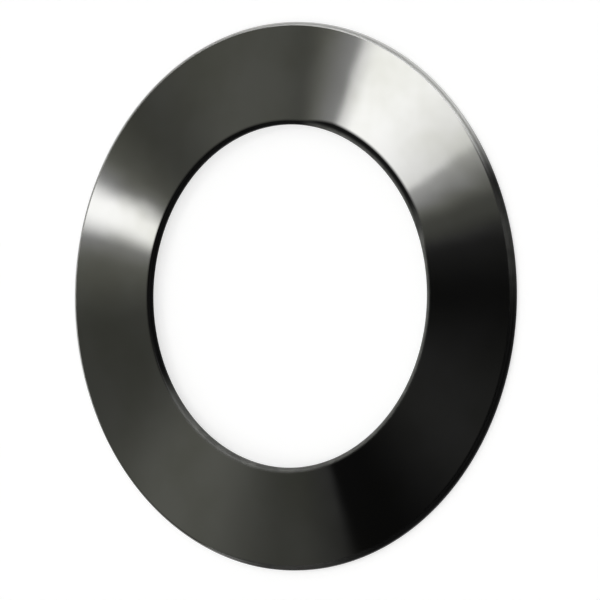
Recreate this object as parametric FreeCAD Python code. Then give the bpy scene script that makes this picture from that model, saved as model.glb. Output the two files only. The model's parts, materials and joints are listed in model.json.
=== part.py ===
import FreeCAD, Part
import math
import os

# Dished shim washer, in millimetres.
# One ring of spring steel sheet, pressed to a shallow cone. Its rim and its
# bore are turned true to the axis. The two upper edges are fully rounded, and
# the two lower ones are bevelled to take off the burr.
# It lies on the foot of its rim with the edge of the bore raised. The origin
# is on the axis, level with that foot, and +Z leaves by the raised side.

# Sizes
BORE_DIAMETER = 25.0
# From the bore wall out to the rim wall
BAND_WIDTH = 7.5
# Measured square to the sloping faces
SHEET_THICKNESS = 0.6
# How far a face climbs across the band
DISH_RISE = 0.6
# Radius of the two upper edges
EDGE_ROUNDING = 0.28
# Legs of the bevel on the two lower edges
EDGE_BEVEL = 0.18

# The largest shares of the sheet that an upper and a lower edge may take.
# What they leave is the straight wall between the two.
ROUNDING_LIMIT = 1 / 2
BEVEL_LIMIT = 1 / 3

# Places and angles that follow from the sizes
BORE_WALL = BORE_DIAMETER / 2
RIM_WALL = BORE_WALL + BAND_WIDTH
SLOPE = math.atan2(DISH_RISE, BAND_WIDTH)
ROUNDING_RADIUS = min(EDGE_ROUNDING, ROUNDING_LIMIT * SHEET_THICKNESS)
BEVEL_LEG = min(EDGE_BEVEL, BEVEL_LIMIT * SHEET_THICKNESS)

HALF_TURN = math.pi
FULL_TURN_DEGREES = 360
AXIS = FreeCAD.Vector(0, 0, 1)
ORIGIN = FreeCAD.Vector(0, 0, 0)


def sheet_point(x, depth):
    """Point of the sheet at a distance from the axis and a way in from the hollow face.

    The hollow face is at height 0 where the rim's bevel ends, so the washer
    lies on that line.
    """
    climb = (RIM_WALL - BEVEL_LEG - x) * math.tan(SLOPE)
    return FreeCAD.Vector(x, 0, climb + depth / math.cos(SLOPE))


def upper_edge(x, first, last):
    """Arc that rounds an upper edge, between two angles about its centre."""
    centre = sheet_point(x, SHEET_THICKNESS - ROUNDING_RADIUS)
    points = []
    for angle in (first, (first + last) / 2, last):
        direction = FreeCAD.Vector(math.cos(angle), 0, math.sin(angle))
        points.append(centre + direction * ROUNDING_RADIUS)
    return Part.Arc(*points)


def lower_edge(wall_x, face_x):
    """Bevel between the foot of a wall and the hollow face."""
    wall_foot = sheet_point(wall_x, 0) + AXIS * BEVEL_LEG
    return Part.LineSegment(wall_foot, sheet_point(face_x, 0))


def washer_section():
    """Face of the sheet where a cut beside the axis shows it."""
    raised_face = HALF_TURN / 2 - SLOPE
    rim_crown = upper_edge(RIM_WALL - ROUNDING_RADIUS, 0, raised_face)
    bore_crown = upper_edge(BORE_WALL + ROUNDING_RADIUS, raised_face, HALF_TURN)
    bore_foot = lower_edge(BORE_WALL, BORE_WALL + BEVEL_LEG)
    rim_foot = lower_edge(RIM_WALL, RIM_WALL - BEVEL_LEG)
    outline = [
        rim_crown,
        Part.LineSegment(rim_crown.EndPoint, bore_crown.StartPoint),
        bore_crown,
        Part.LineSegment(bore_crown.EndPoint, bore_foot.StartPoint),
        bore_foot,
        Part.LineSegment(bore_foot.EndPoint, rim_foot.EndPoint),
        rim_foot,
        Part.LineSegment(rim_foot.StartPoint, rim_crown.StartPoint),
    ]
    return Part.Face(Part.Wire([piece.toShape() for piece in outline]))


def washer():
    """The whole ring, turned round its axis from the section."""
    return washer_section().revolve(ORIGIN, AXIS, FULL_TURN_DEGREES)


os.makedirs("parts", exist_ok=True)
washer().exportStep("parts/washer.step")
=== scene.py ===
"""A dished shim washer of polished spring steel, lying on a pale floor with its bore raised.

The ring is turned from the outline of its sheet. Its faces carry a mirror
polish, faintly wavy and clouded, with very fine turning marks. Its edges are
painted near-black, a painted shade for their dark reflections, with painted
light along one side of the bore, and half of the rim is a satin painted
lighter, a painted highlight. Panels of light stand round it in a grey room,
and one camera with a long lens looks down on it.
"""

import json
import logging
import math
from dataclasses import dataclass, field, replace
from enum import Enum

import bmesh
import bpy
from mathutils import Matrix, Vector


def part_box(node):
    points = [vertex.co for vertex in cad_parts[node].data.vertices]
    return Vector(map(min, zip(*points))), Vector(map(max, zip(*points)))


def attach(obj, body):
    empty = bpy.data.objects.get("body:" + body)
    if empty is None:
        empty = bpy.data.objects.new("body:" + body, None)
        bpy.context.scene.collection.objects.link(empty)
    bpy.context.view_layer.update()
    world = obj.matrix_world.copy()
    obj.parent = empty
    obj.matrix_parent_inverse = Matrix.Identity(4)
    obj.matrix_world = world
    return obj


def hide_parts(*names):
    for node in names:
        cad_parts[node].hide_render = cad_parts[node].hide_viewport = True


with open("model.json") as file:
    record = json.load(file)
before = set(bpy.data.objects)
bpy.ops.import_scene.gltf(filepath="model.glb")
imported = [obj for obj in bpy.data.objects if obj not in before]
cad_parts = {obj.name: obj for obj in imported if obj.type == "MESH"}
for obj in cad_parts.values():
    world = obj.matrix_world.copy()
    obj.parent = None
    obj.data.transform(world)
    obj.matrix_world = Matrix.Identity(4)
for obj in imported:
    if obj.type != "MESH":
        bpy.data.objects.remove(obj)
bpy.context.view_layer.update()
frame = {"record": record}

log = logging.getLogger("washer")

MILLIMETRE = 0.001
FULL_TURN = 360
# A vertex nearer to a corner of the outline than this is at that corner
NEAR_CORNER = 0.045 * MILLIMETRE
# Vertices nearer to each other than this are one
SAME_POINT = 0.00018 * MILLIMETRE
# What is beside a panel counts as this far ahead, which leaves it off the panel
LEAST_AHEAD = 0.05

Colour = tuple[float, float, float, float]


class Wire:
    """An output of a node, on which Python's own operators add Math nodes."""

    def __init__(self, bench: "Bench", socket: bpy.types.NodeSocket | None) -> None:
        """Keeps the output, or none for a node without one, and the bench that it is on."""
        self.bench = bench
        self.socket = socket

    def __add__(self, other: "Wire | float") -> "Wire":
        """Sum of the two."""
        return self.bench.math("ADD", self, other)

    __radd__ = __add__

    def __sub__(self, other: "Wire | float") -> "Wire":
        """What is left after taking other away."""
        return self.bench.math("SUBTRACT", self, other)

    def __rsub__(self, other: float) -> "Wire":
        """What is left of other after taking this away."""
        return self.bench.math("SUBTRACT", other, self)

    def __mul__(self, other: "Wire | float") -> "Wire":
        """Product of the two."""
        return self.bench.math("MULTIPLY", self, other)

    __rmul__ = __mul__

    def __truediv__(self, other: "Wire | float") -> "Wire":
        """This divided by other."""
        return self.bench.math("DIVIDE", self, other)

    def __rtruediv__(self, other: float) -> "Wire":
        """Other divided by this."""
        return self.bench.math("DIVIDE", other, self)

    def at_least(self, floor: "Wire | float") -> "Wire":
        """The larger of the two."""
        return self.bench.math("MAXIMUM", self, floor)

    def at_most(self, ceiling: "Wire | float") -> "Wire":
        """The smaller of the two."""
        return self.bench.math("MINIMUM", self, ceiling)

    def rise(self, low: float, high: float) -> "Wire":
        """Climbs smoothly from 0 to 1 between two values.

        Args:
            low: Where it leaves 0.
            high: Where it reaches 1. It falls instead if this is below low.

        Returns:
            The eased value.
        """
        climbs = float(high > low)
        inputs = {
            "Value": self,
            "From Min": min(low, high),
            "From Max": max(low, high),
            "To Min": 1 - climbs,
            "To Max": climbs,
        }
        return self.bench.add("MapRange", {"interpolation_type": "SMOOTHSTEP"}, inputs)


class Bench:
    """A node tree, cleared and ready for nodes to be laid out on it."""

    def __init__(self, tree: bpy.types.NodeTree) -> None:
        """Clears the tree."""
        self.tree = tree
        tree.nodes.clear()

    def add(self, kind: str, settings: dict, inputs: dict, output: str | int = 0) -> Wire:
        """Adds one node.

        Args:
            kind: The node's type, without its ShaderNode prefix.
            settings: Properties of the node, set before its sockets.
            inputs: A value or a wire for each input socket, by name or number.
            output: The output socket that is handed back.

        Returns:
            That output.
        """
        node = self.tree.nodes.new("ShaderNode" + kind)
        for name, value in settings.items():
            setattr(node, name, value)
        for name, value in inputs.items():
            if isinstance(value, Wire):
                self.tree.links.new(value.socket, node.inputs[name])
            else:
                node.inputs[name].default_value = value
        return Wire(self, node.outputs[output] if len(node.outputs) else None)

    def math(self, operation: str, *inputs: Wire | float) -> Wire:
        """Adds a Math node for one operation on its inputs, in order."""
        return self.add("Math", {"operation": operation}, dict(enumerate(inputs)))

    def blend(self, share: Wire, first: Wire | Colour, second: Wire | Colour) -> Wire:
        """Mixes two colours.

        Args:
            share: How much of the second colour shows, from 0 to 1.
            first: The colour at 0.
            second: The colour at 1.

        Returns:
            The mixed colour.
        """
        colour_a, colour_b, colour_out = 6, 7, 2
        inputs = {0: share, colour_a: first, colour_b: second}
        return self.add("Mix", {"data_type": "RGBA"}, inputs, colour_out)

    def along(self, place: Wire, axis: Vector) -> Wire:
        """How far a place or direction reaches along an axis."""
        return self.add("VectorMath", {"operation": "DOT_PRODUCT"}, {0: place, 1: axis}, "Value")


def grey(level: float) -> Colour:
    """A neutral colour of one level."""
    return (level, level, level, 1.0)


@dataclass(frozen=True)
class RingPlace:
    """Where a shaded point lies on the ring."""

    bench: Bench
    place: Wire
    radius: Wire

    @classmethod
    def on(cls, bench: Bench) -> "RingPlace":
        """Reads the point's place.

        Args:
            bench: Where the nodes go.

        Returns:
            The place and its distance from the axis.
        """
        place = bench.add("TexCoord", {}, {}, "Object")
        flat = bench.add("VectorMath", {"operation": "MULTIPLY"}, {0: place, 1: Vector((1, 1, 0))})
        return cls(bench, place, bench.add("VectorMath", {"operation": "LENGTH"}, {0: flat}, "Value"))

    def toward(self, bearing: float) -> Wire:
        """How nearly the point lies in a direction from the axis.

        Args:
            bearing: The direction, in degrees from the X axis.

        Returns:
            The cosine of the angle between the two.
        """
        angle = math.radians(bearing)
        return self.bench.along(self.place, Vector((math.cos(angle), math.sin(angle), 0))) / self.radius

    def noise(self, size: float, detail: float = 2.0) -> Wire:
        """Soft random patches.

        Args:
            size: Width of a patch.
            detail: How many finer layers are laid over it.

        Returns:
            A value about 0.5.
        """
        return self.bench.add("TexNoise", {}, {"Vector": self.place, "Scale": 1 / size, "Detail": detail})


@dataclass(frozen=True)
class Stretch:
    """A part of the ring's turn: whole up to one angle either side of a bearing and gone past another.

    All three are in degrees, and the bearing is taken from the X axis.
    """

    bearing: float
    whole: float
    gone: float

    def share(self, ring: RingPlace) -> Wire:
        """1 on the stretch, 0 off it."""
        ends = (math.cos(math.radians(angle)) for angle in (self.gone, self.whole))
        return ring.toward(self.bearing).rise(*ends)


@dataclass(frozen=True)
class Margin:
    """A strip beside a wall of the ring: whole up to one distance from the wall and gone past another."""

    whole: float
    gone: float

    def off_bore(self, radius: Wire, bore: float) -> Wire:
        """1 on the strip beside the bore, 0 past it."""
        return radius.rise(bore + self.gone, bore + self.whole)

    def off_rim(self, radius: Wire, rim: float) -> Wire:
        """1 on the strip beside the rim, 0 past it."""
        return radius.rise(rim - self.gone, rim - self.whole)


@dataclass(frozen=True)
class MirrorPolish:
    """Polish of the two faces: bright steel, faintly wavy and clouded, with very fine turning marks."""

    colour: Colour = (0.309, 0.309, 0.302, 1.0)
    clouded: Colour = (0.262, 0.263, 0.244, 1.0)
    cloud_size: float = 7 * MILLIMETRE
    cloud_detail: float = 3.0
    cloud_span: tuple[float, float] = (0.35, 0.7)
    gloss: float = 0.03
    haze: float = 0.016
    haze_span: tuple[float, float] = (0.4, 0.8)
    mark_pitch: float = 0.09 * MILLIMETRE
    mark_depth: float = 0.00012 * MILLIMETRE
    mark_detail: float = 3.0
    wave_length: float = 5 * MILLIMETRE
    wave_depth: float = 0.0055 * MILLIMETRE
    wave_detail: float = 1.5

    def finish(self, ring: RingPlace) -> tuple[Wire, Wire, Wire]:
        """Lays out the polish.

        Args:
            ring: Where the point lies.

        Returns:
            Its colour, roughness and normal.
        """
        bench = ring.bench
        cloud = ring.noise(self.cloud_size, self.cloud_detail)
        colour = bench.blend(cloud.rise(*self.cloud_span), self.colour, self.clouded)
        gloss = self.gloss + self.haze * cloud.rise(*self.haze_span)
        drift = ring.noise(self.cloud_size)
        lookup = bench.add("CombineXYZ", {}, {"X": ring.radius / self.mark_pitch, "Y": drift})
        marks = bench.add("TexNoise", {}, {"Vector": lookup, "Scale": 1.0, "Detail": self.mark_detail})
        waves = ring.noise(self.wave_length, self.wave_detail)
        wavy = bench.add("Bump", {}, {"Height": waves, "Distance": self.wave_depth, "Strength": 1.0})
        marked = {"Height": marks, "Distance": self.mark_depth, "Strength": 1.0, "Normal": wavy}
        return colour, gloss, bench.add("Bump", {}, marked)


@dataclass(frozen=True)
class SatinRimHighlight:
    """Satin finish of the rim's rounding, round one half of the ring, painted lighter there as a painted
    highlight.
    """

    # Lighter colour painted on one half of the rim: a painted highlight, beside its satin roughness
    colour: Colour = (0.55, 0.55, 0.54, 1.0)
    gloss: float = 0.4
    margin: Margin = Margin(whole=0.224 * MILLIMETRE, gone=0.294 * MILLIMETRE)
    half: Stretch = Stretch(bearing=110, whole=80.2, gone=99.8)

    def share(self, ring: RingPlace, rim: float) -> Wire:
        """Where the rim is satin and painted lighter, from 0 to 1."""
        return self.margin.off_rim(ring.radius, rim) * self.half.share(ring)


@dataclass(frozen=True)
class EdgeShadeAndLight:
    """Painted shade on the edges: near-black all round the bore and along part of the rim, for their dark
    reflections.

    Round one part of the bore it is broader. It is painted lighter in patches, as painted light.
    """

    # Near-black painted shade on the edges, and the lighter colour of its painted light
    colour: Colour = (0.003, 0.003, 0.003, 1.0)
    lit_colour: Colour = (0.165, 0.166, 0.158, 1.0)
    gloss: float = 0.3
    sheen: float = 0.04
    bore_margin: Margin = Margin(whole=0.196 * MILLIMETRE, gone=0.476 * MILLIMETRE)
    broad_part: Stretch = Stretch(bearing=50, whole=19.9, gone=36.9)
    broad_width: float = 0.4 * MILLIMETRE
    rim_margin: Margin = Margin(whole=0.28 * MILLIMETRE, gone=0.42 * MILLIMETRE)
    rim_part: Stretch = Stretch(bearing=325, whole=60, gone=78.5)
    unlit_bore: Stretch = Stretch(bearing=120, whole=84.8, gone=108.1)
    unlit_rim: Stretch = Stretch(bearing=325, whole=29.5, gone=50.2)
    lit_lip: Margin = Margin(whole=0.084 * MILLIMETRE, gone=0.448 * MILLIMETRE)
    bore_light: Margin = Margin(whole=0.84 * MILLIMETRE, gone=6.66 * MILLIMETRE)
    rim_light: float = 0.3
    least_light: float = 0.7
    patch_size: float = 1.2 * MILLIMETRE
    patch_detail: float = 4.0
    patch_span: tuple[float, float] = (0.35, 0.65)

    def share(self, ring: RingPlace, bore: float, rim: float) -> Wire:
        """Where the painted shade is laid.

        Args:
            ring: Where the point lies.
            bore: Radius of the bore.
            rim: Radius of the rim.

        Returns:
            1 on the painted shade, 0 on the bare steel.
        """
        inward = ring.radius - self.broad_width * self.broad_part.share(ring)
        along_rim = self.rim_margin.off_rim(ring.radius, rim) * self.rim_part.share(ring)
        return self.bore_margin.off_bore(inward, bore).at_least(along_rim)

    def painted_light(self, ring: RingPlace, bore: float) -> Wire:
        """Where the painted shade is painted lighter: painted light, in patches.

        That is along one side of the bore, on the lip of the broader part and,
        less, at both ends of the rim's part.

        Args:
            ring: Where the point lies.
            bore: Radius of the bore.

        Returns:
            1 where it is painted lightest, 0 where it stays dark.
        """
        lip = self.broad_part.share(ring) * self.lit_lip.off_bore(ring.radius, bore)
        place = (1 - self.unlit_bore.share(ring)).at_least(lip)
        at_rim = self.rim_light * (1 - self.unlit_rim.share(ring))
        depth = self.bore_light.off_bore(ring.radius, bore).at_least(at_rim)
        patches = ring.noise(self.patch_size, self.patch_detail).rise(*self.patch_span)
        return place * depth * (self.least_light + (1 - self.least_light) * patches)


class Edge(Enum):
    """The four edges of the sheet, where its outline turns."""

    BORE_FOOT = "bore foot"
    RIM_FOOT = "rim foot"
    RIM_TOP = "rim top"
    BORE_TOP = "bore top"


@dataclass
class DishedWasher:
    """The ring: one sheet pressed to a shallow cone, with rounded upper edges and bevelled lower ones."""

    rim_radius: float
    bore_radius: float
    sheet: float = 0.6 * MILLIMETRE
    rise: float = 0.6 * MILLIMETRE
    rounding: float = 0.28 * MILLIMETRE
    bevel: float = 0.18 * MILLIMETRE
    turns: int = 480
    rounding_steps: int = 10
    face_weight: int = 100
    polish: MirrorPolish = MirrorPolish()
    satin_highlight: SatinRimHighlight = SatinRimHighlight()
    edge_shade: EdgeShadeAndLight = EdgeShadeAndLight()

    @property
    def slope(self) -> float:
        """Angle that the faces climb at."""
        return math.atan2(self.rise, self.rim_radius - self.bore_radius)

    def sheet_point(self, radius: float, depth: float) -> Vector:
        """Point of the sheet's outline.

        Args:
            radius: Distance from the axis.
            depth: Way in from the hollow face, square to it.

        Returns:
            The point, above the X axis.
        """
        climb = (self.rim_radius - self.bevel - radius) * math.tan(self.slope)
        return Vector((radius, 0, climb + depth / math.cos(self.slope)))

    def corners(self) -> dict[Edge, Vector]:
        """Works out the corners of the outline, in order round it.

        Returns:
            Each corner above the X axis, by its edge.
        """
        return {
            Edge.BORE_FOOT: self.sheet_point(self.bore_radius, 0),
            Edge.RIM_FOOT: self.sheet_point(self.rim_radius, 0),
            Edge.RIM_TOP: self.sheet_point(self.rim_radius, self.sheet),
            Edge.BORE_TOP: self.sheet_point(self.bore_radius, self.sheet),
        }

    def outline(self, shape: bmesh.types.BMesh) -> None:
        """Lays the outline of the sheet above the X axis.

        Args:
            shape: The empty shape that it goes into.
        """
        loop = [shape.verts.new(corner) for corner in self.corners().values()]
        for start, end in zip(loop, loop[1:] + loop[:1]):
            shape.edges.new((start, end))

    def turn(self, shape: bmesh.types.BMesh) -> None:
        """Spins the outline round the axis into a closed ring.

        Args:
            shape: The outline, which becomes the ring.
        """
        bmesh.ops.spin(
            shape,
            geom=shape.verts[:] + shape.edges[:],
            cent=(0, 0, 0),
            axis=(0, 0, 1),
            angle=math.tau,
            steps=self.turns,
            use_merge=True,
        )
        bmesh.ops.remove_doubles(shape, verts=shape.verts, dist=SAME_POINT)

    def edges_at(self, shape: bmesh.types.BMesh, corner: Vector) -> list[bmesh.types.BMEdge]:
        """Finds the edges that go round the ring through one corner of its outline.

        Args:
            shape: The turned ring.
            corner: The corner, above the X axis.

        Returns:
            The edges.
        """

        def at_corner(vertex: bmesh.types.BMVert) -> bool:
            """Whether a vertex lies on the circle through the corner."""
            place = Vector((vertex.co.xy.length, 0, vertex.co.z))
            return (place - corner).length < NEAR_CORNER

        return [edge for edge in shape.edges if all(at_corner(vertex) for vertex in edge.verts)]

    def work_edges(self, shape: bmesh.types.BMesh) -> None:
        """Rounds the upper edges and bevels the lower ones.

        Args:
            shape: The turned ring.
        """
        half_corner = (math.pi / 2 + self.slope) / 2
        work = {
            Edge.BORE_TOP: (self.rounding * math.tan(half_corner), self.rounding_steps),
            Edge.RIM_TOP: (self.rounding / math.tan(half_corner), self.rounding_steps),
            Edge.BORE_FOOT: (self.bevel, 1),
            Edge.RIM_FOOT: (self.bevel, 1),
        }
        corners = self.corners()
        for edge, (reach, steps) in work.items():
            self.bevel_edges(shape, self.edges_at(shape, corners[edge]), reach, steps)

    @staticmethod
    def bevel_edges(
        shape: bmesh.types.BMesh, edges: list[bmesh.types.BMEdge], reach: float, steps: int
    ) -> None:
        """Takes edges down.

        Args:
            shape: The ring.
            edges: The edges to work.
            reach: How far the work goes along each side.
            steps: Facets across the new surface, 1 for a plain bevel.
        """
        bmesh.ops.bevel(
            shape,
            geom=edges,
            offset=reach,
            offset_type="OFFSET",
            affect="EDGES",
            segments=steps,
            profile=0.5,
            material=-1,
            clamp_overlap=True,
        )

    def build(self) -> bpy.types.Object:
        """Makes the finished ring.

        Returns:
            Its object, at the origin.
        """
        shape = bmesh.new()
        self.outline(shape)
        self.turn(shape)
        self.work_edges(shape)
        bmesh.ops.recalc_face_normals(shape, faces=shape.faces)
        for face in shape.faces:
            face.smooth = True
        mesh = bpy.data.meshes.new("spring_washer")
        shape.to_mesh(mesh)
        shape.free()
        mesh.materials.append(self.steel())
        piece = bpy.data.objects.new("spring_washer", mesh)
        bpy.context.scene.collection.objects.link(piece)
        shading = piece.modifiers.new("face_normals", "WEIGHTED_NORMAL")
        shading.mode = "FACE_AREA"
        shading.weight = self.face_weight
        shading.keep_sharp = False
        return piece

    def steel(self) -> bpy.types.Material:
        """Makes the steel: polish on the faces; on the edges, a satin painted lighter on one half of the
        rim and a near-black painted shade with painted light on one side.

        Returns:
            The material.
        """
        material = bpy.data.materials.new("spring_steel")
        material.use_nodes = True
        bench = Bench(material.node_tree)
        ring = RingPlace.on(bench)
        colour, gloss, normal = self.polish.finish(ring)
        # Satin on one half of the rim, painted lighter there as a painted highlight
        satin_and_highlight = self.satin_highlight.share(ring, self.rim_radius)
        metal = {
            "Base Color": bench.blend(satin_and_highlight, colour, self.satin_highlight.colour),
            "Metallic": 1.0,
            "Roughness": gloss + satin_and_highlight * (self.satin_highlight.gloss - gloss),
            "Normal": normal,
        }
        # Painted light: the edges' painted shade is painted lighter along one side
        painted_light = self.edge_shade.painted_light(ring, self.bore_radius)
        painted_edge = {
            "Base Color": bench.blend(painted_light, self.edge_shade.colour, self.edge_shade.lit_colour),
            "Roughness": self.edge_shade.gloss,
            "Specular IOR Level": self.edge_shade.sheen,
        }
        # Painted shade: near-black edges mixed over the steel
        shaders = {0: self.edge_shade.share(ring, self.bore_radius, self.rim_radius)}
        for socket, inputs in enumerate((metal, painted_edge), start=1):
            shaders[socket] = bench.add("BsdfPrincipled", {}, inputs)
        bench.add("OutputMaterial", {}, {"Surface": bench.add("MixShader", {}, shaders)})
        return material


@dataclass(frozen=True)
class Panel:
    """A far, flat, softly edged panel that lights the scene or shades it, with its angles in degrees."""

    azimuth: float
    elevation: float
    width: float
    height: float
    glow: float
    soft: tuple[float, float] = (1.2, 1.2)
    tilt: float = 0.0

    def axes(self) -> tuple[Vector, Vector, Vector]:
        """Works out which way the panel faces.

        Returns:
            Directions to its middle, to its right and up it, seen from the washer.
        """
        azimuth, elevation, tilt = (math.radians(a) for a in (self.azimuth, self.elevation, self.tilt))
        level = Vector((math.cos(azimuth), math.sin(azimuth), 0))
        ahead = level * math.cos(elevation) + Vector((0, 0, math.sin(elevation)))
        right = Vector((math.sin(azimuth), -math.cos(azimuth), 0))
        up = right.cross(ahead)
        return (
            ahead,
            right * math.cos(tilt) + up * math.sin(tilt),
            up * math.cos(tilt) - right * math.sin(tilt),
        )

    def cover(self, bench: Bench, direction: Wire) -> Wire:
        """Where the panel shows.

        Args:
            bench: Where the nodes go.
            direction: The direction looked along.

        Returns:
            1 on the panel, 0 off it, with its soft edges between.
        """
        ahead, right, up = self.axes()
        distance = bench.along(direction, ahead).at_least(LEAST_AHEAD)
        shares = []
        for axis, extent, soft in zip((right, up), (self.width, self.height), self.soft):
            offset = bench.math("ABSOLUTE", bench.along(direction, axis) / distance)
            outer = math.tan(math.radians((extent + soft) / 2))
            inner = math.tan(math.radians(max(extent - soft, 0) / 2))
            shares.append(offset.rise(outer, inner))
        return shares[0] * shares[1]


@dataclass(frozen=True)
class SoftboxRow:
    """Softboxes of one size, evenly spaced round the room at one height, with their angles in degrees.

    Their shear is how far their sides lean, in radians of bearing for each unit of height.
    """

    first: float
    spacing: float
    elevation: float
    width: float
    height: float
    shear: float
    soft: float = 1.2

    def cover(self, bench: Bench, azimuth: Wire, height: Wire) -> Wire:
        """Where the row shows.

        Args:
            bench: Where the nodes go.
            azimuth: Bearing of the direction looked along, in radians.
            height: Sine of its elevation.

        Returns:
            1 on a softbox, 0 off it, with its soft edges between.
        """
        middle = math.radians(self.elevation)
        lean = self.shear * (height - math.sin(middle))
        bearing = azimuth + math.radians(FULL_TURN - self.first) + lean
        offset = bench.math("PINGPONG", bearing, math.radians(self.spacing / 2))
        half, soft = (math.radians(angle / 2) / math.cos(middle) for angle in (self.width, self.soft))
        across = offset.rise(half + soft, half - soft)
        half, soft = (math.radians(angle / 2) for angle in (self.height, self.soft))
        above = height.rise(math.sin(middle - half - soft), math.sin(middle - half + soft))
        below = height.rise(math.sin(middle + half + soft), math.sin(middle + half - soft))
        return across * above * below


@dataclass
class Studio:
    """The grey room, its light panels and the pale floor."""

    wall: float = 0.12
    wall_tint: Colour = (1.0, 1.015, 0.91, 1.0)
    tint_starts: tuple[float, float] = (0.048, 0.12)
    tint_ends: tuple[float, float] = (0.6, 0.24)
    softbox: float = 2.5
    key: float = 3.1
    horizon: float = 1.0
    horizon_fade: tuple[float, float] = (7.0, 2.0)
    floor_radius: float = 4.0
    floor_sides: int = 128
    floor_level: float = 0.5
    floor_lift: float = 0.63
    rows: list[SoftboxRow] = field(default_factory=list)
    panels: list[Panel] = field(default_factory=list)

    def build(self) -> None:
        """Makes the room and the floor."""
        self.room()
        self.floor()

    def room(self) -> None:
        """Paints the room and its panels on the world, by direction."""
        world = bpy.data.worlds.new("studio")
        bpy.context.scene.world = world
        world.use_nodes = True
        bench = Bench(world.node_tree)
        direction = bench.add("TexCoord", {}, {}, "Generated")
        east, north, height = (bench.along(direction, axis) for axis in Matrix.Identity(3))
        azimuth = bench.math("ARCTAN2", north, east)
        covers = [row.cover(bench, azimuth, height) for row in self.rows]
        glow = self.wall + (self.softbox - self.wall) * sum(covers[1:], covers[0])
        for panel in self.panels:
            glow = glow + panel.cover(bench, direction) * (panel.glow - glow)
        top, bottom = (math.sin(math.radians(angle)) for angle in self.horizon_fade)
        glow = glow + height.rise(top, bottom) * (self.horizon - glow)
        tinted = glow.rise(*self.tint_starts) * glow.rise(*self.tint_ends)
        tint = bench.blend(tinted, grey(1.0), self.wall_tint)
        light = bench.add("Background", {}, {"Color": tint, "Strength": glow})
        bench.add("OutputWorld", {}, {"Surface": light})

    def floor(self) -> None:
        """Lays the pale floor at the level that the washer rests on."""
        shape = bmesh.new()
        bmesh.ops.create_circle(shape, cap_ends=True, segments=self.floor_sides, radius=self.floor_radius)
        mesh = bpy.data.meshes.new("floor")
        shape.to_mesh(mesh)
        shape.free()
        mesh.materials.append(self.floor_paint())
        floor = bpy.data.objects.new("floor", mesh)
        bpy.context.scene.collection.objects.link(floor)

    def floor_paint(self) -> bpy.types.Material:
        """Makes the floor's paint, which takes shadows and is lifted to white where it is looked at.

        Returns:
            The material.
        """
        material = bpy.data.materials.new("pale_floor")
        material.use_nodes = True
        bench = Bench(material.node_tree)
        paint = bench.add("BsdfDiffuse", {}, {"Color": grey(self.floor_level)})
        seen = bench.add("LightPath", {}, {}, "Is Camera Ray")
        for ray in ("Is Glossy Ray", "Is Transmission Ray"):
            seen = seen + bench.add("LightPath", {}, {}, ray)
        strength = self.floor_lift * seen.at_most(1.0)
        lift = bench.add("Emission", {}, {"Color": grey(1.0), "Strength": strength})
        both = bench.add("AddShader", {}, {0: paint, 1: lift})
        bench.add("OutputMaterial", {}, {"Surface": both})
        return material


@dataclass
class Camera:
    """The camera: a long lens that looks down on the washer from its right, with its angles in degrees."""

    view_width: float = 43.74 * MILLIMETRE
    distance: float = 1.6
    tilt_from_axis: float = 36.67
    roll: float = 0.89
    aim_right: float = 0.241 * MILLIMETRE
    aim_up: float = -0.279 * MILLIMETRE
    sensor: float = 36.0

    def build(self) -> None:
        """Places the camera and makes it the scene's own."""
        lean, roll = math.radians(self.tilt_from_axis), math.radians(self.roll)
        back = Vector((math.sin(lean), 0, math.cos(lean)))
        level_right = Vector((math.cos(lean), 0, -math.sin(lean)))
        right = level_right * math.cos(roll) + Vector((0, 1, 0)) * math.sin(roll)
        up = back.cross(right)
        aim = right * self.aim_right + up * self.aim_up
        data = bpy.data.cameras.new("camera")
        data.sensor_width = self.sensor
        data.lens = self.sensor * self.distance / self.view_width
        camera = bpy.data.objects.new("camera", data)
        bpy.context.scene.collection.objects.link(camera)
        turned = Matrix((right, up, back)).transposed().to_4x4()
        turned.translation = aim + back * self.distance
        camera.matrix_world = turned
        bpy.context.scene.camera = camera


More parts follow.
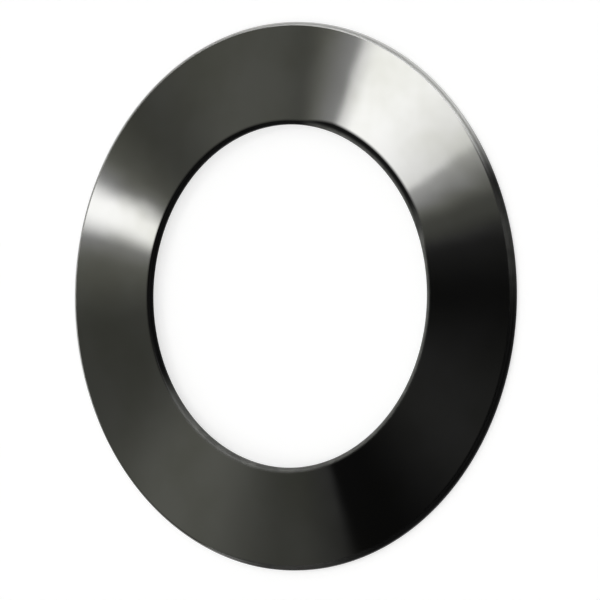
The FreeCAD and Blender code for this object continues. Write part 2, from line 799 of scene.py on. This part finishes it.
def studio() -> Studio:
    """Sets out the studio: rows of softboxes all round, and the panels that the camera sees mirrored.

    Each panel is painted over the ones before it.

    Returns:
        The studio.
    """
    rows = [
        SoftboxRow(first=5.5, spacing=45, elevation=18, width=10, height=9, shear=0.5),
        SoftboxRow(first=-6, spacing=45, elevation=40, width=16, height=14, shear=-0.6),
        SoftboxRow(first=50, spacing=60, elevation=64, width=19, height=15, shear=-0.8),
    ]
    room = Studio(rows=rows)
    strip = Panel(azimuth=176.55, elevation=38.4, width=4.3, height=14, glow=0.33, soft=(3.0, 3.5))
    flag = Panel(azimuth=200, elevation=67.2, width=24, height=26.5, glow=0.05, soft=(4, 4), tilt=16)
    key = Panel(azimuth=150, elevation=63.5, width=20.7, height=23.4, glow=0.15, soft=(1.2, 3.2), tilt=-27)
    room.panels = [
        # Bare wall, with two faint patches of light on it
        Panel(azimuth=180, elevation=50, width=28, height=40, glow=room.wall, soft=(2, 2)),
        Panel(azimuth=169.3, elevation=50, width=5, height=6, glow=0.215, soft=(4, 4)),
        Panel(azimuth=189.3, elevation=47.6, width=4.5, height=5.5, glow=0.25, soft=(4, 4)),
        # Strip light: its wide and its narrow spill, and its tube
        strip,
        replace(strip, width=2.4, glow=0.55, soft=(0.8, 3.5)),
        replace(strip, azimuth=176.51, width=1.12, glow=room.key, soft=(0.85, 0.9)),
        # Dark flag: its border, its middle, and a faint patch of light on it
        flag,
        replace(flag, width=19.2, height=24.9, glow=0.010, soft=(3.8, 0.6)),
        Panel(azimuth=187.5, elevation=61, width=5, height=4, glow=0.048, soft=(4, 4)),
        # Key light: its wide and its narrow spill, its border and its face
        key,
        replace(key, width=18.15, glow=0.70, soft=(1.25, 3.2)),
        replace(key, width=16.25, height=21.3, glow=1.9, soft=(0.4, 0.5)),
        replace(key, width=14.5, height=20.3, glow=room.key, soft=(3.5, 1.2)),
        # Softbox almost overhead
        Panel(azimuth=40, elevation=82, width=9, height=12, glow=room.softbox),
    ]
    return room


def washer_from_frame() -> DishedWasher:
    """Takes the ring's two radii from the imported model.

    Returns:
        The washer.
    """
    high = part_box("washer")[1]
    bore = next(mount for mount in frame["record"]["mounts"] if mount["name"] == "bore")
    return DishedWasher(rim_radius=high.y, bore_radius=bore["dims"]["r_mm"] * MILLIMETRE)


def main() -> None:
    """Builds the washer, the studio and the camera in order."""
    logging.basicConfig(level=logging.INFO)
    bpy.context.scene.view_settings.view_transform = "Standard"
    washer = washer_from_frame().build()
    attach(washer, "root")
    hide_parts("washer")
    log.info("%s: %d faces", washer.name, len(washer.data.polygons))
    studio().build()
    log.info("studio: floor and room")
    Camera().build()
    log.info("camera: set")


if __name__ == "__main__":
    main()
